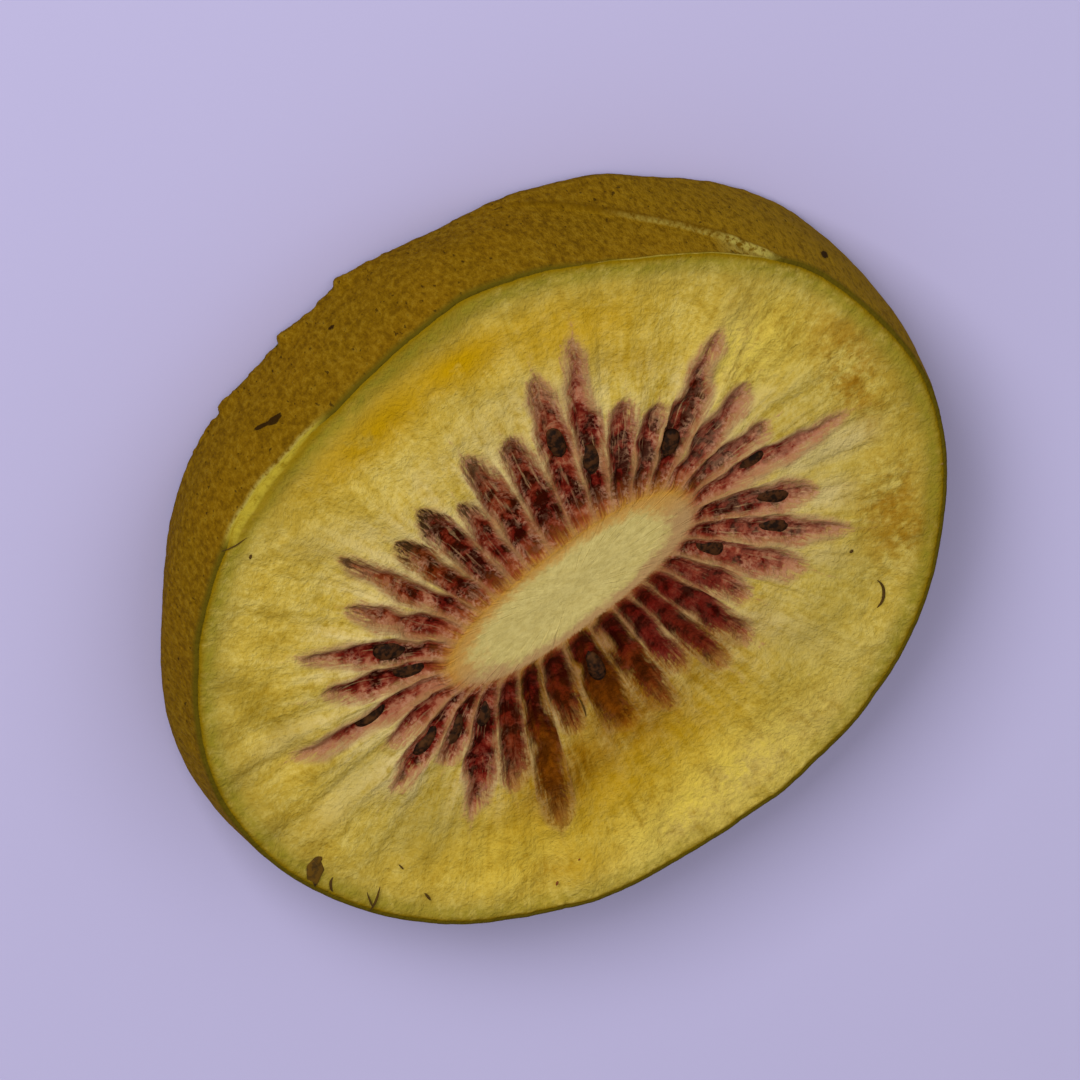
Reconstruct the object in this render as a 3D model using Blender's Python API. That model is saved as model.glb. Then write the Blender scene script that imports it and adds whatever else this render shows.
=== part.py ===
"""A freeze-dried slice of a red-hearted yellow kiwifruit, lying with a cut face up.

Lengths are in metres.  The slice rests on z = 0, +X runs along the longer axis of
the cut face, and directions on the face turn anticlockwise from +X, seen from above.

The slice is one solid.  Rings of points, all with the same number of points, run
from the middle of the upper face out to the rim, down the skin and back in to the
middle of the underside.  On both faces a ring is a fixed share of the way from the
pale core to the rim.  The seed chambers radiate from the core as shallow valleys,
and the seeds lie in them, fused to the flesh.
"""

import math
import random

import bmesh
import bpy
import numpy as np
from mathutils import Matrix, Vector

MM = 0.001

# --- driving dimensions ---------------------------------------------------------------
FACE_LENGTH = 54.0 * MM
FACE_WIDTH = 46.4 * MM
THICKNESS = 10.5 * MM
CORE_LENGTH = 19.8 * MM
CORE_WIDTH = 6.4 * MM
CORE_TURN = math.radians(3.5)
CORE_CENTRE = (-0.24 * MM, -0.10 * MM)
CORE_ROUNDNESS = 2.4                # 2 is an ellipse, more is squarer

# The outline isn't quite an ellipse: (waves round the rim, share of the radius, crest).
OUTLINE_WAVES = (
    (3, 0.006, -37), (4, 0.006, -43), (5, 0.009, 11),
    (6, 0.003, 8), (7, 0.007, -23), (8, 0.005, -11),
)
# It bulges too, most on the low side: (direction in degrees, width, share of the radius).
OUTLINE_BULGES = ((197, 14, 0.013), (252, 14, 0.028), (276, 15, 0.029), (357, 14, 0.007))

# Seed chambers: (direction in degrees, reach from core to rim, place of the seed or None).
CHAMBERS = (
    (6, 0.40, None), (21, 0.47, None), (36, 0.66, 0.19), (46, 0.33, None),
    (56, 0.39, None), (66, 0.69, 0.21), (74, 0.59, 0.33), (84, 0.44, None),
    (92, 0.49, None), (98, 0.33, None), (106, 0.41, None), (115, 0.41, None),
    (124, 0.56, None), (135, 0.44, None), (149, 0.58, 0.23), (161, 0.42, 0.14),
    (176, 0.65, 0.33), (188, 0.34, None), (200, 0.48, 0.27), (209, 0.28, 0.20),
    (220, 0.54, 0.14), (231, 0.45, None), (242, 0.64, None), (252, 0.29, None),
    (264, 0.42, 0.17), (272, 0.45, None), (279, 0.37, None), (286, 0.46, None),
    (294, 0.46, None), (303, 0.35, None), (314, 0.50, 0.14), (325, 0.62, 0.35),
    (337, 0.47, 0.33), (355, 0.64, 0.27),
)
SPOKES_PER_CHAMBER = 4
LEAN = (math.radians(7), 222, 22)   # chambers near 222 degrees lean towards the tip

# --- relief of the cut faces ----------------------------------------------------------
FACE_INSET = 0.3 * MM               # mean cut plane below the highest crest
CORE_RISE = 0.25 * MM
CHAMBER_DEPTH = 0.55 * MM
SEPTUM_RISE = 0.12 * MM
FLESH_WAVE = 0.20 * MM
RIM_FALL = 0.30 * MM
UNDERSIDE_WAVE = 0.15 * MM
# Waves of the dried flesh: (direction of travel in degrees, wavelength, phase).
FLESH_WAVES = ((15, 16.0 * MM, 0.4), (72, 11.0 * MM, 2.1), (128, 7.5 * MM, 4.0), (160, 6.0 * MM, 1.2))

# --- skin wall ------------------------------------------------------------------------
BARREL = 0.45 * MM                  # the wall swells between the two faces
UNDERSIDE_GROWTH = 0.35 * MM        # the underside was cut nearer the fruit's middle
EDGE_ROUND = 0.25 * MM
# The lower edge wanders off the outline of the face: (direction in degrees, reach, width).
LOWER_EDGE = ((53, 0.65 * MM, 9), (78, -0.85 * MM, 8), (150, -1.25 * MM, 24))

# A second, slanting knife cut: it starts at the upper edge and runs down round the skin.
SLANT_START = 29                    # degrees round the rim, where it leaves the edge
SLANT_END = 66
SLANT_DEPTH = 8.3 * MM              # below the upper face at SLANT_END
SLANT_RECESS = 0.35 * MM

# A strip where the skin peeled away from the upper edge.
PEEL_FROM = 104                     # degrees round the rim
PEEL_TO = 130
PEEL_DEPTH = 0.55 * MM

# Torn flakes of skin on the lower edge: (direction in degrees, reach).
FLAKES = ((93, 0.45 * MM), (104, 0.45 * MM), (117, 0.40 * MM))
FLAKE_WIDTH = 2.6                   # degrees

# --- seeds ----------------------------------------------------------------------------
SEED_LENGTH = 2.3 * MM
SEED_WIDTH = 1.45 * MM
SEED_HEIGHT = 1.0 * MM
SEED_SINK = 0.12 * MM               # a seed's middle lies this far below the valley
UNDERSIDE_SEEDS = 11
RANDOM_SEED = 7

# --- rings of points ------------------------------------------------------------------
CORE_RINGS = (0.35, 0.70, 0.92)
FACE_RINGS = (0.0, 0.05, 0.12, 0.20, 0.28, 0.37, 0.46, 0.56, 0.66, 0.77, 0.88, 0.965, 1.0)
UNDERSIDE_RINGS = (0.0, 0.07, 0.18, 0.30, 0.44, 0.60, 0.78, 0.93, 1.0)
WALL_DEPTHS = (0.10, 0.28, 0.48, 0.68, 0.86, 0.96)    # shares of the thickness

# --- colours: base colour, roughness --------------------------------------------------
FINISHES = {
    "flesh": ((0.46, 0.31, 0.05), 0.85),
    "core": ((0.50, 0.39, 0.15), 0.88),
    "skin": ((0.15, 0.076, 0.004), 0.80),
    "seed": ((0.018, 0.009, 0.006), 0.55),
}


def ramp(value, start, end):
    """Rise smoothly from 0 at start to 1 at end."""
    share = np.clip((value - start) / (end - start), 0.0, 1.0)
    return share * share * (3.0 - 2.0 * share)


def bump(value, middle, width):
    """A smooth bump of height 1, with directions in degrees taken round the circle."""
    distance = (value - middle + 180.0) % 360.0 - 180.0
    return np.exp(-((distance / width) ** 2))


def signed_power(value, power):
    return np.sign(value) * np.abs(value) ** power


# --- plan of a face -------------------------------------------------------------------

def rim_point(direction, growth=0.0):
    """Point on the rim of the face, grown outwards by growth metres."""
    waves = sum(share * np.cos(count * (direction - math.radians(crest)))
                for count, share, crest in OUTLINE_WAVES)
    bulges = sum(share * bump(np.degrees(direction), middle, width)
                 for middle, width, share in OUTLINE_BULGES)
    x = (FACE_LENGTH / 2 * (1 + waves + bulges) + growth) * np.cos(direction)
    y = (FACE_WIDTH / 2 * (1 + waves + bulges) + growth) * np.sin(direction)
    return np.stack([x, y], axis=-1)


def core_point(direction):
    """Point on the edge of the core, a long rounded bar turned by CORE_TURN."""
    power = 2.0 / CORE_ROUNDNESS
    along = CORE_LENGTH / 2 * signed_power(np.cos(direction), power)
    across = CORE_WIDTH / 2 * signed_power(np.sin(direction), power)
    x = CORE_CENTRE[0] + along * math.cos(CORE_TURN) - across * math.sin(CORE_TURN)
    y = CORE_CENTRE[1] + along * math.sin(CORE_TURN) + across * math.cos(CORE_TURN)
    return np.stack([x, y], axis=-1)


def leaned(direction):
    """Where a chamber that starts at direction on the core meets the rim."""
    amount, middle, width = LEAN
    return direction + amount * bump(np.degrees(direction), middle, width)


def face_point(share, direction):
    """Point a given share of the way from the core's edge to the rim."""
    core = core_point(direction)
    return core + share * (rim_point(leaned(direction)) - core)


def spokes():
    """Directions of the spokes, the chamber each one belongs to, and its place in it.

    A spoke's place runs from 0 on the chamber's middle line to 1 on the septum between
    two chambers.
    """
    directions, owners, places = [], [], []
    count = len(CHAMBERS)
    for index, (middle, _, _) in enumerate(CHAMBERS):
        following = CHAMBERS[(index + 1) % count][0] + (360 if index + 1 == count else 0)
        for step in range(SPOKES_PER_CHAMBER):
            part = step / SPOKES_PER_CHAMBER
            directions.append(math.radians(middle + part * (following - middle)))
            owners.append(index if part <= 0.5 else (index + 1) % count)
            places.append(1.0 - abs(1.0 - 2.0 * part))
    return np.array(directions), np.array(owners), np.array(places)


# --- heights --------------------------------------------------------------------------

def flesh_wave(points):
    """Uneven surface of the dried flesh, from -1 to 1."""
    total = 0.0
    for travel, wavelength, phase in FLESH_WAVES:
        heading = math.radians(travel)
        along = points[..., 0] * math.cos(heading) + points[..., 1] * math.sin(heading)
        total = total + np.sin(2 * math.pi * along / wavelength + phase)
    return total / len(FLESH_WAVES)


def chamber_relief(share, reach, place):
    """Depth of a chamber's valley, less the rise of the septum beside it."""
    lengthwise = ramp(share, 0.0, 0.08) * (1.0 - ramp(share, reach - 0.14, reach + 0.06))
    valley = CHAMBER_DEPTH * np.cos(place * math.pi / 2) ** 2
    ridge = SEPTUM_RISE * np.sin(place * math.pi / 2) ** 2
    return lengthwise * (valley - ridge)


def upper_height(share, directions, reach, place):
    points = face_point(share, directions)
    level = THICKNESS - FACE_INSET + FLESH_WAVE * flesh_wave(points) * ramp(share, 0.1, 0.5)
    level = level + CORE_RISE * (1.0 - ramp(share, 0.0, 0.10))
    level = level - chamber_relief(share, reach, place)
    degrees = np.degrees(directions)
    peeled = ramp(degrees, PEEL_FROM, PEEL_FROM + 6) * (1 - ramp(degrees, PEEL_TO - 6, PEEL_TO))
    fall = RIM_FALL + (PEEL_DEPTH - RIM_FALL) * peeled
    return level - fall * ramp(share, 0.955, 1.0)


def underside_height(share, directions, reach, place):
    """The underside lay on a tray, so its crests are pressed flat at z = 0."""
    points = face_point(share, directions)
    level = UNDERSIDE_WAVE * flesh_wave(-points) * ramp(share, 0.3, 0.6)
    level = level + chamber_relief(share, reach, place) + RIM_FALL * ramp(share, 0.93, 1.0)
    return np.maximum(level, 0.0)


# --- skin wall ------------------------------------------------------------------------

def wall_growth(depth, degrees):
    """How far the skin stands outside the face's outline at a depth below the face."""
    share = depth / THICKNESS
    growth = BARREL * math.sin(math.pi * share) + UNDERSIDE_GROWTH * share
    slant = SLANT_DEPTH * np.clip((degrees - SLANT_START) / (SLANT_END - SLANT_START), 0.001, 1.0)
    fade = ramp(degrees, SLANT_START, SLANT_START + 6) * (1 - ramp(degrees, SLANT_END - 12, SLANT_END + 8))
    growth = growth - SLANT_RECESS * fade * np.clip(1.0 - depth / slant, 0.0, 1.0)
    wander = sum(reach * bump(degrees, middle, width) for middle, reach, width in LOWER_EDGE)
    growth = growth + wander * ramp(share, 0.45, 1.0)
    torn = sum(reach * bump(degrees, middle, FLAKE_WIDTH) for middle, reach in FLAKES)
    return growth + torn * ramp(share, 0.80, 0.95)


def lifted(plan, heights):
    return np.column_stack([plan, heights])


def core_disc(rings, height, points):
    """Rings inside the core, each a smaller copy of its edge."""
    centre = np.array(CORE_CENTRE)
    return [lifted(centre + size * (points - centre), np.full(len(points), height)) for size in rings]


def body_rings(under_reach):
    """All the rings, from the middle of the upper face round to that of the underside."""
    directions, owners, place = spokes()
    reach = np.array([chamber[1] for chamber in CHAMBERS])[owners]
    under_reach = np.array(under_reach)[owners]
    rim_directions = leaned(directions)
    degrees = np.degrees(rim_directions) % 360.0
    core = core_point(directions)

    rings = core_disc(CORE_RINGS, THICKNESS - FACE_INSET + CORE_RISE, core)
    for share in FACE_RINGS:
        rings.append(lifted(face_point(share, directions), upper_height(share, directions, reach, place)))
    for share in WALL_DEPTHS:
        depth = share * THICKNESS
        plan = rim_point(rim_directions, wall_growth(depth, degrees))
        rings.append(lifted(plan, np.full(len(directions), THICKNESS - depth)))
    for share in reversed(UNDERSIDE_RINGS):
        plan = face_point(share, directions)
        if share == 1.0:
            plan = rim_point(rim_directions, wall_growth(THICKNESS, degrees) - EDGE_ROUND)
        rings.append(lifted(plan, underside_height(share, directions, under_reach, place)))
    rings.extend(core_disc(reversed(CORE_RINGS), 0.0, core))
    return rings


def closed_mesh(rings):
    """Mesh the rings into one closed body, with a fan over the middle of each face."""
    count = len(rings[0])
    mesh = bmesh.new()
    loops = [[mesh.verts.new(point) for point in ring] for ring in rings]
    top = mesh.verts.new((*CORE_CENTRE, rings[0][0][2]))
    bottom = mesh.verts.new((*CORE_CENTRE, rings[-1][0][2]))
    skin_from = len(CORE_RINGS) + len(FACE_RINGS) - 1
    skin_to = skin_from + len(WALL_DEPTHS)
    core_rows = len(CORE_RINGS)
    for k in range(count):
        following = (k + 1) % count
        mesh.faces.new((top, loops[0][k], loops[0][following])).material_index = 1
        mesh.faces.new((bottom, loops[-1][following], loops[-1][k])).material_index = 1
        for row in range(len(loops) - 1):
            inner, outer = loops[row], loops[row + 1]
            face = mesh.faces.new((inner[k], outer[k], outer[following], inner[following]))
            if skin_from <= row <= skin_to:
                face.material_index = 2
            elif row < core_rows or row >= len(loops) - 1 - core_rows:
                face.material_index = 1
    bmesh.ops.triangulate(mesh, faces=mesh.faces)
    return mesh


# --- seeds ----------------------------------------------------------------------------

def seed_matrix(direction, share, height):
    """Place a seed with its long axis along the chamber."""
    here = face_point(share, np.array(direction))
    ahead = face_point(share + 0.05, np.array(direction))
    heading = math.atan2(ahead[1] - here[1], ahead[0] - here[0])
    size = Matrix.Diagonal((SEED_LENGTH / 2, SEED_WIDTH / 2, SEED_HEIGHT / 2, 1.0))
    turn = Matrix.Rotation(heading, 4, "Z")
    return Matrix.Translation(Vector((here[0], here[1], height))) @ turn @ size


def make_seed(matrix, finish, collection):
    shape = bmesh.new()
    bmesh.ops.create_icosphere(shape, subdivisions=2, radius=1.0, matrix=matrix)
    mesh = bpy.data.meshes.new("seed")
    shape.to_mesh(mesh)
    shape.free()
    mesh.materials.append(finish)
    collection.objects.link(bpy.data.objects.new("seed", mesh))


def seed_places(under_reach, draw):
    """Matrices of all seeds: those of the upper face as listed, the others drawn."""
    places = []
    for direction, reach, share in CHAMBERS:
        if share is not None:
            angle = math.radians(direction)
            floor = float(upper_height(share, np.array(angle), reach, 0.0))
            places.append(seed_matrix(angle, share, floor - SEED_SINK))
    step = len(CHAMBERS) / UNDERSIDE_SEEDS
    for number in range(UNDERSIDE_SEEDS):
        index = int(number * step + draw.uniform(0, step - 1))
        angle = math.radians(CHAMBERS[index][0])
        share = draw.uniform(0.14, 0.30)
        floor = float(underside_height(share, np.array(angle), under_reach[index], 0.0))
        places.append(seed_matrix(angle, share, max(floor + SEED_SINK, SEED_HEIGHT / 2)))
    return places


def fuse(body, collection):
    """Join every solid of the collection to the body, then remove the collection."""
    union = body.modifiers.new("fuse seeds", "BOOLEAN")
    union.operation = "UNION"
    union.operand_type = "COLLECTION"
    union.collection = collection
    union.solver = "EXACT"
    union.material_mode = "TRANSFER"
    depsgraph = bpy.context.evaluated_depsgraph_get()
    fused = bpy.data.meshes.new_from_object(body.evaluated_get(depsgraph))
    body.modifiers.remove(union)
    body.data = fused
    for item in list(collection.objects):
        bpy.data.objects.remove(item)
    bpy.data.collections.remove(collection)


def make_finish(name):
    colour, roughness = FINISHES[name]
    finish = bpy.data.materials.new(name)
    finish.use_nodes = True
    shader = finish.node_tree.nodes["Principled BSDF"]
    shader.inputs["Base Color"].default_value = (*colour, 1.0)
    shader.inputs["Roughness"].default_value = roughness
    shader.inputs["Metallic"].default_value = 0.0
    finish.diffuse_color = (*colour, 1.0)
    return finish


def centred(rings):
    """Shift the rings so that the outline's box is centred on the origin."""
    points = np.concatenate(rings)
    middle = (points.min(axis=0) + points.max(axis=0)) / 2
    return Vector((-middle[0], -middle[1], 0.0))


def make_slice():
    draw = random.Random(RANDOM_SEED)
    under_reach = [min(0.7, reach * draw.uniform(0.75, 1.3)) for _, reach, _ in CHAMBERS]
    rings = body_rings(under_reach)
    shape = closed_mesh(rings)
    mesh = bpy.data.meshes.new("kiwi_slice")
    shape.to_mesh(mesh)
    shape.free()
    for name in ("flesh", "core", "skin"):
        mesh.materials.append(make_finish(name))
    body = bpy.data.objects.new("kiwi_slice", mesh)
    bpy.context.scene.collection.objects.link(body)

    seeds = bpy.data.collections.new("seeds")
    bpy.context.scene.collection.children.link(seeds)
    seed_finish = make_finish("seed")
    for matrix in seed_places(under_reach, draw):
        make_seed(matrix, seed_finish, seeds)
    fuse(body, seeds)
    body.data.transform(Matrix.Translation(centred(rings)))
    body.data.shade_smooth()
    body.data.set_sharp_from_angle(angle=math.radians(50))
    return body


for old in list(bpy.data.objects):
    bpy.data.objects.remove(old)
make_slice()
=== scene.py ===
"""The looks of a freeze-dried slice of a red-hearted yellow kiwifruit.

The slice lies with a cut face up, +X runs along the longer axis of that face, and
directions on the face turn anticlockwise from +X, seen from above.  The plan of the
slice and the heights of its faces follow the same rules as its solid, with finer
relief.  All the shapes are worked out in millimetres, and mesh_piece turns them into
metres.  Colours are written as the 0 to 255 values that they show in even light.
"""
import math
import random
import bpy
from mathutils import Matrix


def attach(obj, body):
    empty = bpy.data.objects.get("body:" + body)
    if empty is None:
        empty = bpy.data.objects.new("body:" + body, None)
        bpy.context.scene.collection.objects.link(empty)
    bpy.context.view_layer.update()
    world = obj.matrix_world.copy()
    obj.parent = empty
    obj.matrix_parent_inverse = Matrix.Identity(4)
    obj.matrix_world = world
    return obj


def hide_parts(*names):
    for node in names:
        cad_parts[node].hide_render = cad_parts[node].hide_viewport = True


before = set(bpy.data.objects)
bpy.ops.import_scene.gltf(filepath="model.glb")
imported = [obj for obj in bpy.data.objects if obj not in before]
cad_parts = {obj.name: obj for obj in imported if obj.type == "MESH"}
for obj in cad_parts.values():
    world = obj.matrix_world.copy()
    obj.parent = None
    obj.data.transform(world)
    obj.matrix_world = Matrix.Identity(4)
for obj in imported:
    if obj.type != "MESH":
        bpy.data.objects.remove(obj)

from types import SimpleNamespace

import bpy
import numpy as np
from mathutils import Matrix, Vector, noise

MM = 0.001
TURN = 2 * math.pi

# --- plan, as in the solid ---
FACE_LENGTH = 54.0
FACE_WIDTH = 46.4
THICKNESS = 10.5
CORE_LENGTH = 19.8
CORE_WIDTH = 6.4
CORE_TURN = math.radians(3.5)
CORE_CENTRE = np.array([-0.24, -0.10])
CORE_ROUNDNESS = 2.4

# The outline isn't quite an ellipse: (waves round the rim, share of the radius, crest).
OUTLINE_WAVES = (
    (3, 0.006, -37), (4, 0.006, -43), (5, 0.009, 11),
    (6, 0.003, 8), (7, 0.007, -23), (8, 0.005, -11),
)
# It bulges too, most on the low side: (direction in degrees, width, share of the radius).
OUTLINE_BULGES = ((197, 14, 0.013), (252, 14, 0.028), (276, 15, 0.029), (357, 14, 0.007))

# Seed chambers: direction in degrees, reach from core to rim, place of the seed or None,
# width, darkness of the wine-red pulp, and how far the pulp has turned brown.
CHAMBERS = (
    (6, 0.4, None, 1.1, 0.85, 0), (21, 0.47, None, 1.2, 0.6, 0),
    (36, 0.66, 0.19, 1.3, 0.8, 0.1), (46, 0.36, None, 1.6, 0.95, 0),
    (56, 0.41, None, 1.3, 0.85, 0), (66, 0.69, 0.21, 1.3, 0.65, 0),
    (74, 0.59, 0.33, 1.7, 0.6, 0.1), (84, 0.44, None, 1.9, 0.95, 0.1),
    (92, 0.49, None, 1.5, 0.8, 0.2), (98, 0.37, None, 0.9, 0.65, 0.1),
    (106, 0.46, None, 1.3, 0.95, 0.1), (115, 0.43, None, 1.15, 0.8, 0.4),
    (124, 0.56, None, 0.85, 0.6, 0.3), (135, 0.44, None, 0.8, 0.5, 0.2),
    (149, 0.58, 0.23, 1.05, 0.7, 0), (161, 0.48, 0.14, 1.1, 0.7, 0),
    (176, 0.65, 0.33, 1, 0.35, 0), (188, 0.34, None, 0.9, 0.55, 0),
    (200, 0.48, 0.27, 1.2, 0.7, 0), (209, 0.33, 0.2, 1.6, 0.85, 0),
    (220, 0.54, 0.14, 1.4, 0.8, 0), (231, 0.45, None, 1.2, 0.9, 0.2),
    (242, 0.64, None, 1.4, 0.9, 0.9), (252, 0.33, None, 1.5, 0.95, 0.3),
    (264, 0.42, 0.17, 2, 1, 0.8), (272, 0.45, None, 1.3, 1, 0.4),
    (279, 0.37, None, 1.1, 0.85, 0), (286, 0.46, None, 1.5, 0.9, 0.1),
    (294, 0.46, None, 1.5, 0.9, 0), (303, 0.35, None, 1.2, 0.7, 0),
    (314, 0.5, 0.14, 1.4, 0.55, 0), (325, 0.62, 0.35, 1.4, 0.65, 0),
    (337, 0.47, 0.33, 1.5, 0.75, 0), (355, 0.64, 0.27, 1.2, 0.45, 0),
)
CHAMBER_SWELL = 1.48
LEAN = (math.radians(7), 222, 22)   # chambers near 222 degrees lean towards the tip

# --- relief, as in the solid, with finer waves added ---
FACE_INSET = 0.3
CORE_RISE = 0.25
CHAMBER_DEPTH = 0.55
SEPTUM_RISE = 0.12
RAY_RISE = 0.12
RAY_WIDTH = 0.55
FLESH_WAVE = 0.20
RIM_FALL = 0.30
EDGE_FALL = 0.07
UNDER_WAVE = 0.15
FLESH_WAVES = ((15, 16.0, 0.4), (72, 11.0, 2.1), (128, 7.5, 4.0), (160, 6.0, 1.2))

BARREL = 0.45
UNDER_GROWTH = 0.35
# The lower edge wanders off the outline of the face: (direction in degrees, reach, width).
LOWER_EDGE = ((53, 0.65, 9), (78, -0.85, 8), (150, -1.25, 24))
SLANT_START = 29
SLANT_END = 66
SLANT_DEPTH = 8.3
SLANT_RECESS = 0.35
PEEL_FROM = 104
PEEL_TO = 130
PEEL_DEPTH = 0.35
PEEL_SHARE = 0.030                  # the strip's greatest width, as a share of core to rim
EDGE_SHARE = 0.985                  # the face starts to round off here
FLAKES = ((93, 0.45), (104, 0.45), (117, 0.40))
FLAKE_WIDTH = 2.6

STREAK_SPAN = (19.0, 3.5)           # how streaks are stretched round and outwards
PLEAT_STRETCH = np.array([1.0, 1.0, 0.8])
HIDDEN_RINGS = (0.965, 0.5)         # rings of the flat hidden side, as shares of the rim
SKIN_THICKNESS = 0.42
# Dark marks on the skin: (direction, depth below the face, half length, half width, turn).
SCARS = ((111.2, 3.75, 0.55, 0.34, 30), (113.2, 4.3, 0.60, 0.20, 36), (19.4, 3.6, 0.80, 0.24, -57),
         (97.0, 6.4, 0.22, 0.18, 0))
SEED_SIZE = (2.3, 1.45, 1.0)
SEED_SINK = 0.12
UNDER_SEEDS = 11
RANDOM_SEED = 7

# --- fineness of the meshes ---
UPPER_SPOKES = 720
UPPER_ROWS = (14, 66, 44)
UNDER_SPOKES = 560
UNDER_ROWS = (8, 44, 26)
ROW_ENDS = (-0.92, 0.0, 0.66, 1.0)  # shares between which a face has so many rows
SKIN_SPOKES = 900
SKIN_ROWS = 54

# --- patches of colour on the upper face ---
# By field: (x, y, half length, half width, turn in degrees, strength).
PATCHES = {
    "gold": (
        (-4.8, 19.4, 6.5, 2.2, 8, 1), (2, 19.6, 5, 2, -10, 1), (9, 17, 6, 3, -25, 0.65),
        (-4.5, 21.2, 6.5, 1.3, 10, 0.8), (0.5, -14.6, 5, 2.6, -8, 0.7),
        (-9.5, -18.8, 3, 1.6, -15, 0.5), (-17, -12, 4, 2, -40, 0.35), (12, 12, 3.5, 1.5, -40, 0.35),
        (-5, -13.5, 11, 5, 0, 0.75),
    ),
    "bright": (
        (0, -19.6, 9.5, 3.2, 0, 0.9), (-13, -15, 5, 3.5, -30, 0.75), (-8, 4.5, 2.6, 2, 0, 0.6),
        (18, 7.5, 4, 3, 30, 0.9),
    ),
    "stain": (
        (-6.8, -12, 4.4, 2.6, 10, 0.9), (-1.5, -10.5, 4.5, 3.6, 0, 1),
        (-8.3, -13.4, 0.9, 1.2, 0, 1), (4.5, -10.5, 4.5, 2.6, 10, 0.6),
    ),
    "tan": (
        (23, 1.4, 1.9, 4.4, -8, 1), (20.2, -9.2, 2.2, 3.6, -30, 0.9), (20, -12, 2.4, 2.6, -40, 0.9),
        (-11.5, -18, 1.6, 1, 0, 0.3),
    ),
    "olive": (
        (0.6, 22.6, 6.5, 1.3, 0, 0.9), (-10.5, 20, 4.5, 1, 22, 0.5), (20, 11, 3.5, 2, -50, 0.3),
        (-16, -8.3, 3.2, 2.4, 25, 0.3), (20.5, -13, 2.5, 2, -45, 0.25), (25.4, -3, 1.4, 8, -8, 0.5),
        (23.2, -10.8, 4.2, 1.2, 57, 0.6), (-12.5, 16.5, 3, 2, 0, 0.25), (-22, 8, 1.2, 6, 12, 0.5),
        (-24.6, 0.5, 1.8, 8, 4, 0.35),
    ),
    # The pale patch at (2.5, -20.5), along the low rim, is painted light: that side of the face is lit
    # brighter.
    "pale": (
        (1.6, 13.8, 6, 2.2, 0, 0.6), (17.5, -2.6, 2.6, 1, -15, 1), (16, 3.4, 2.4, 0.7, 25, 0.9),
        (-9.5, 12.5, 4.5, 1.6, -35, 0.7), (-20, -3.5, 3.5, 1.2, 15, 0.7), (-21, 2.8, 3, 1, 0, 0.7),
        (14.5, -9.8, 2.6, 0.9, -45, 0.7), (2.5, -20.5, 11, 2.4, 3, 0.7), (18, 9, 3, 1.6, 50, 0.7),
        (10, -14, 4, 1.6, -50, 0.5),
    ),
    "frost": (
        (20.2, -2.9, 2.4, 1.2, -15, 0.7), (17.3, -1.7, 1.6, 0.9, 0, 0.7),
        (17.1, -5.7, 2, 1.2, -20, 0.7), (9, -11, 3, 1.4, -40, 0.3), (-16.3, -4, 2.2, 1.4, 20, 0.6),
        (14.5, -9, 2.4, 0.8, -35, 0.2),
    ),
    "dull": (
        (13, -13.5, 8, 4, 30, 0.45), (-13, -4, 3.5, 2, 20, 0.45), (20, -3, 6, 9, 0, 0.35),
        (-17.5, -9.5, 5, 3, -25, 0.4), (-17, -3, 4, 8, 0, 0.3), (12, 0.5, 4, 2, 0, 0.25),
    ),
}

# --- view ---
CAMERA_ELEVATION = math.radians(55.5)
LONG_AXIS_IN_PICTURE = math.radians(34.7)     # above the picture's horizontal
LENS = 1000.0
SENSOR = 36.0
FRAME_WIDTH = 0.071                           # metres across the picture at the slice
CAMERA_TARGET = (0.0, 0.0009, THICKNESS * MM / 2)
FLOOR_REACH = 1.5                             # metres from the slice to the floor's edge
KEY_POWER = 5.25
FILL_POWER = 1.2
SKY_STRENGTH = 0.39


def srgb(*levels):
    """A colour given as 0 to 255 values, as the linear values that a shader takes."""
    shown = [level / 255.0 for level in levels]
    return (*(s / 12.92 if s <= 0.04045 else ((s + 0.055) / 1.055) ** 2.4 for s in shown), 1.0)


# --- colours ---
FLESH_PALE = srgb(200, 176, 88)
FLESH = srgb(180, 152, 58)
FLESH_DEEP = srgb(160, 130, 38)
FLESH_BRIGHT = srgb(208, 182, 70)
FLESH_GOLD = srgb(173, 133, 2)
FLESH_WHITE = srgb(188, 166, 98)
FLESH_FROST = srgb(208, 186, 128)
FLESH_TAN = srgb(140, 98, 16)
FLESH_STAIN = srgb(118, 74, 0)
# At the rim, FLESH_OLIVE, FLESH_DULL and FLESH_RIM_AND_SHADE are partly the flesh's own colour and partly
# painted shade of its rounded edge.
FLESH_OLIVE = srgb(122, 96, 5)
FLESH_DULL = srgb(136, 121, 56)
FLESH_RIM_AND_SHADE = srgb(131, 117, 31)
FLESH_STRIP = srgb(162, 142, 42)
SEPTUM = srgb(128, 88, 62)
SEPTUM_OUTER = srgb(156, 124, 84)
WINE = srgb(92, 18, 10)
WINE_DARK = srgb(44, 4, 0)
BROWN_DARK = srgb(74, 34, 0)
WINE_ROSE = srgb(120, 46, 30)
WINE_PINK = srgb(150, 92, 66)
PULP_BROWN = srgb(116, 64, 0)
PULP_ROOT = srgb(128, 66, 26)
FROST = srgb(172, 128, 98)
MARGIN = srgb(156, 112, 66)
WISP = srgb(52, 34, 12)
FRINGE = srgb(188, 138, 50)
CORE = srgb(192, 174, 108)
CORE_DEEP = srgb(178, 159, 94)
SKIN = srgb(116, 85, 5)
SKIN_WARM = srgb(119, 86, 5)
SKIN_DARK = srgb(84, 57, 2)
SKIN_FADED = srgb(140, 108, 16)
SKIN_PALE = srgb(141, 109, 20)
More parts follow.
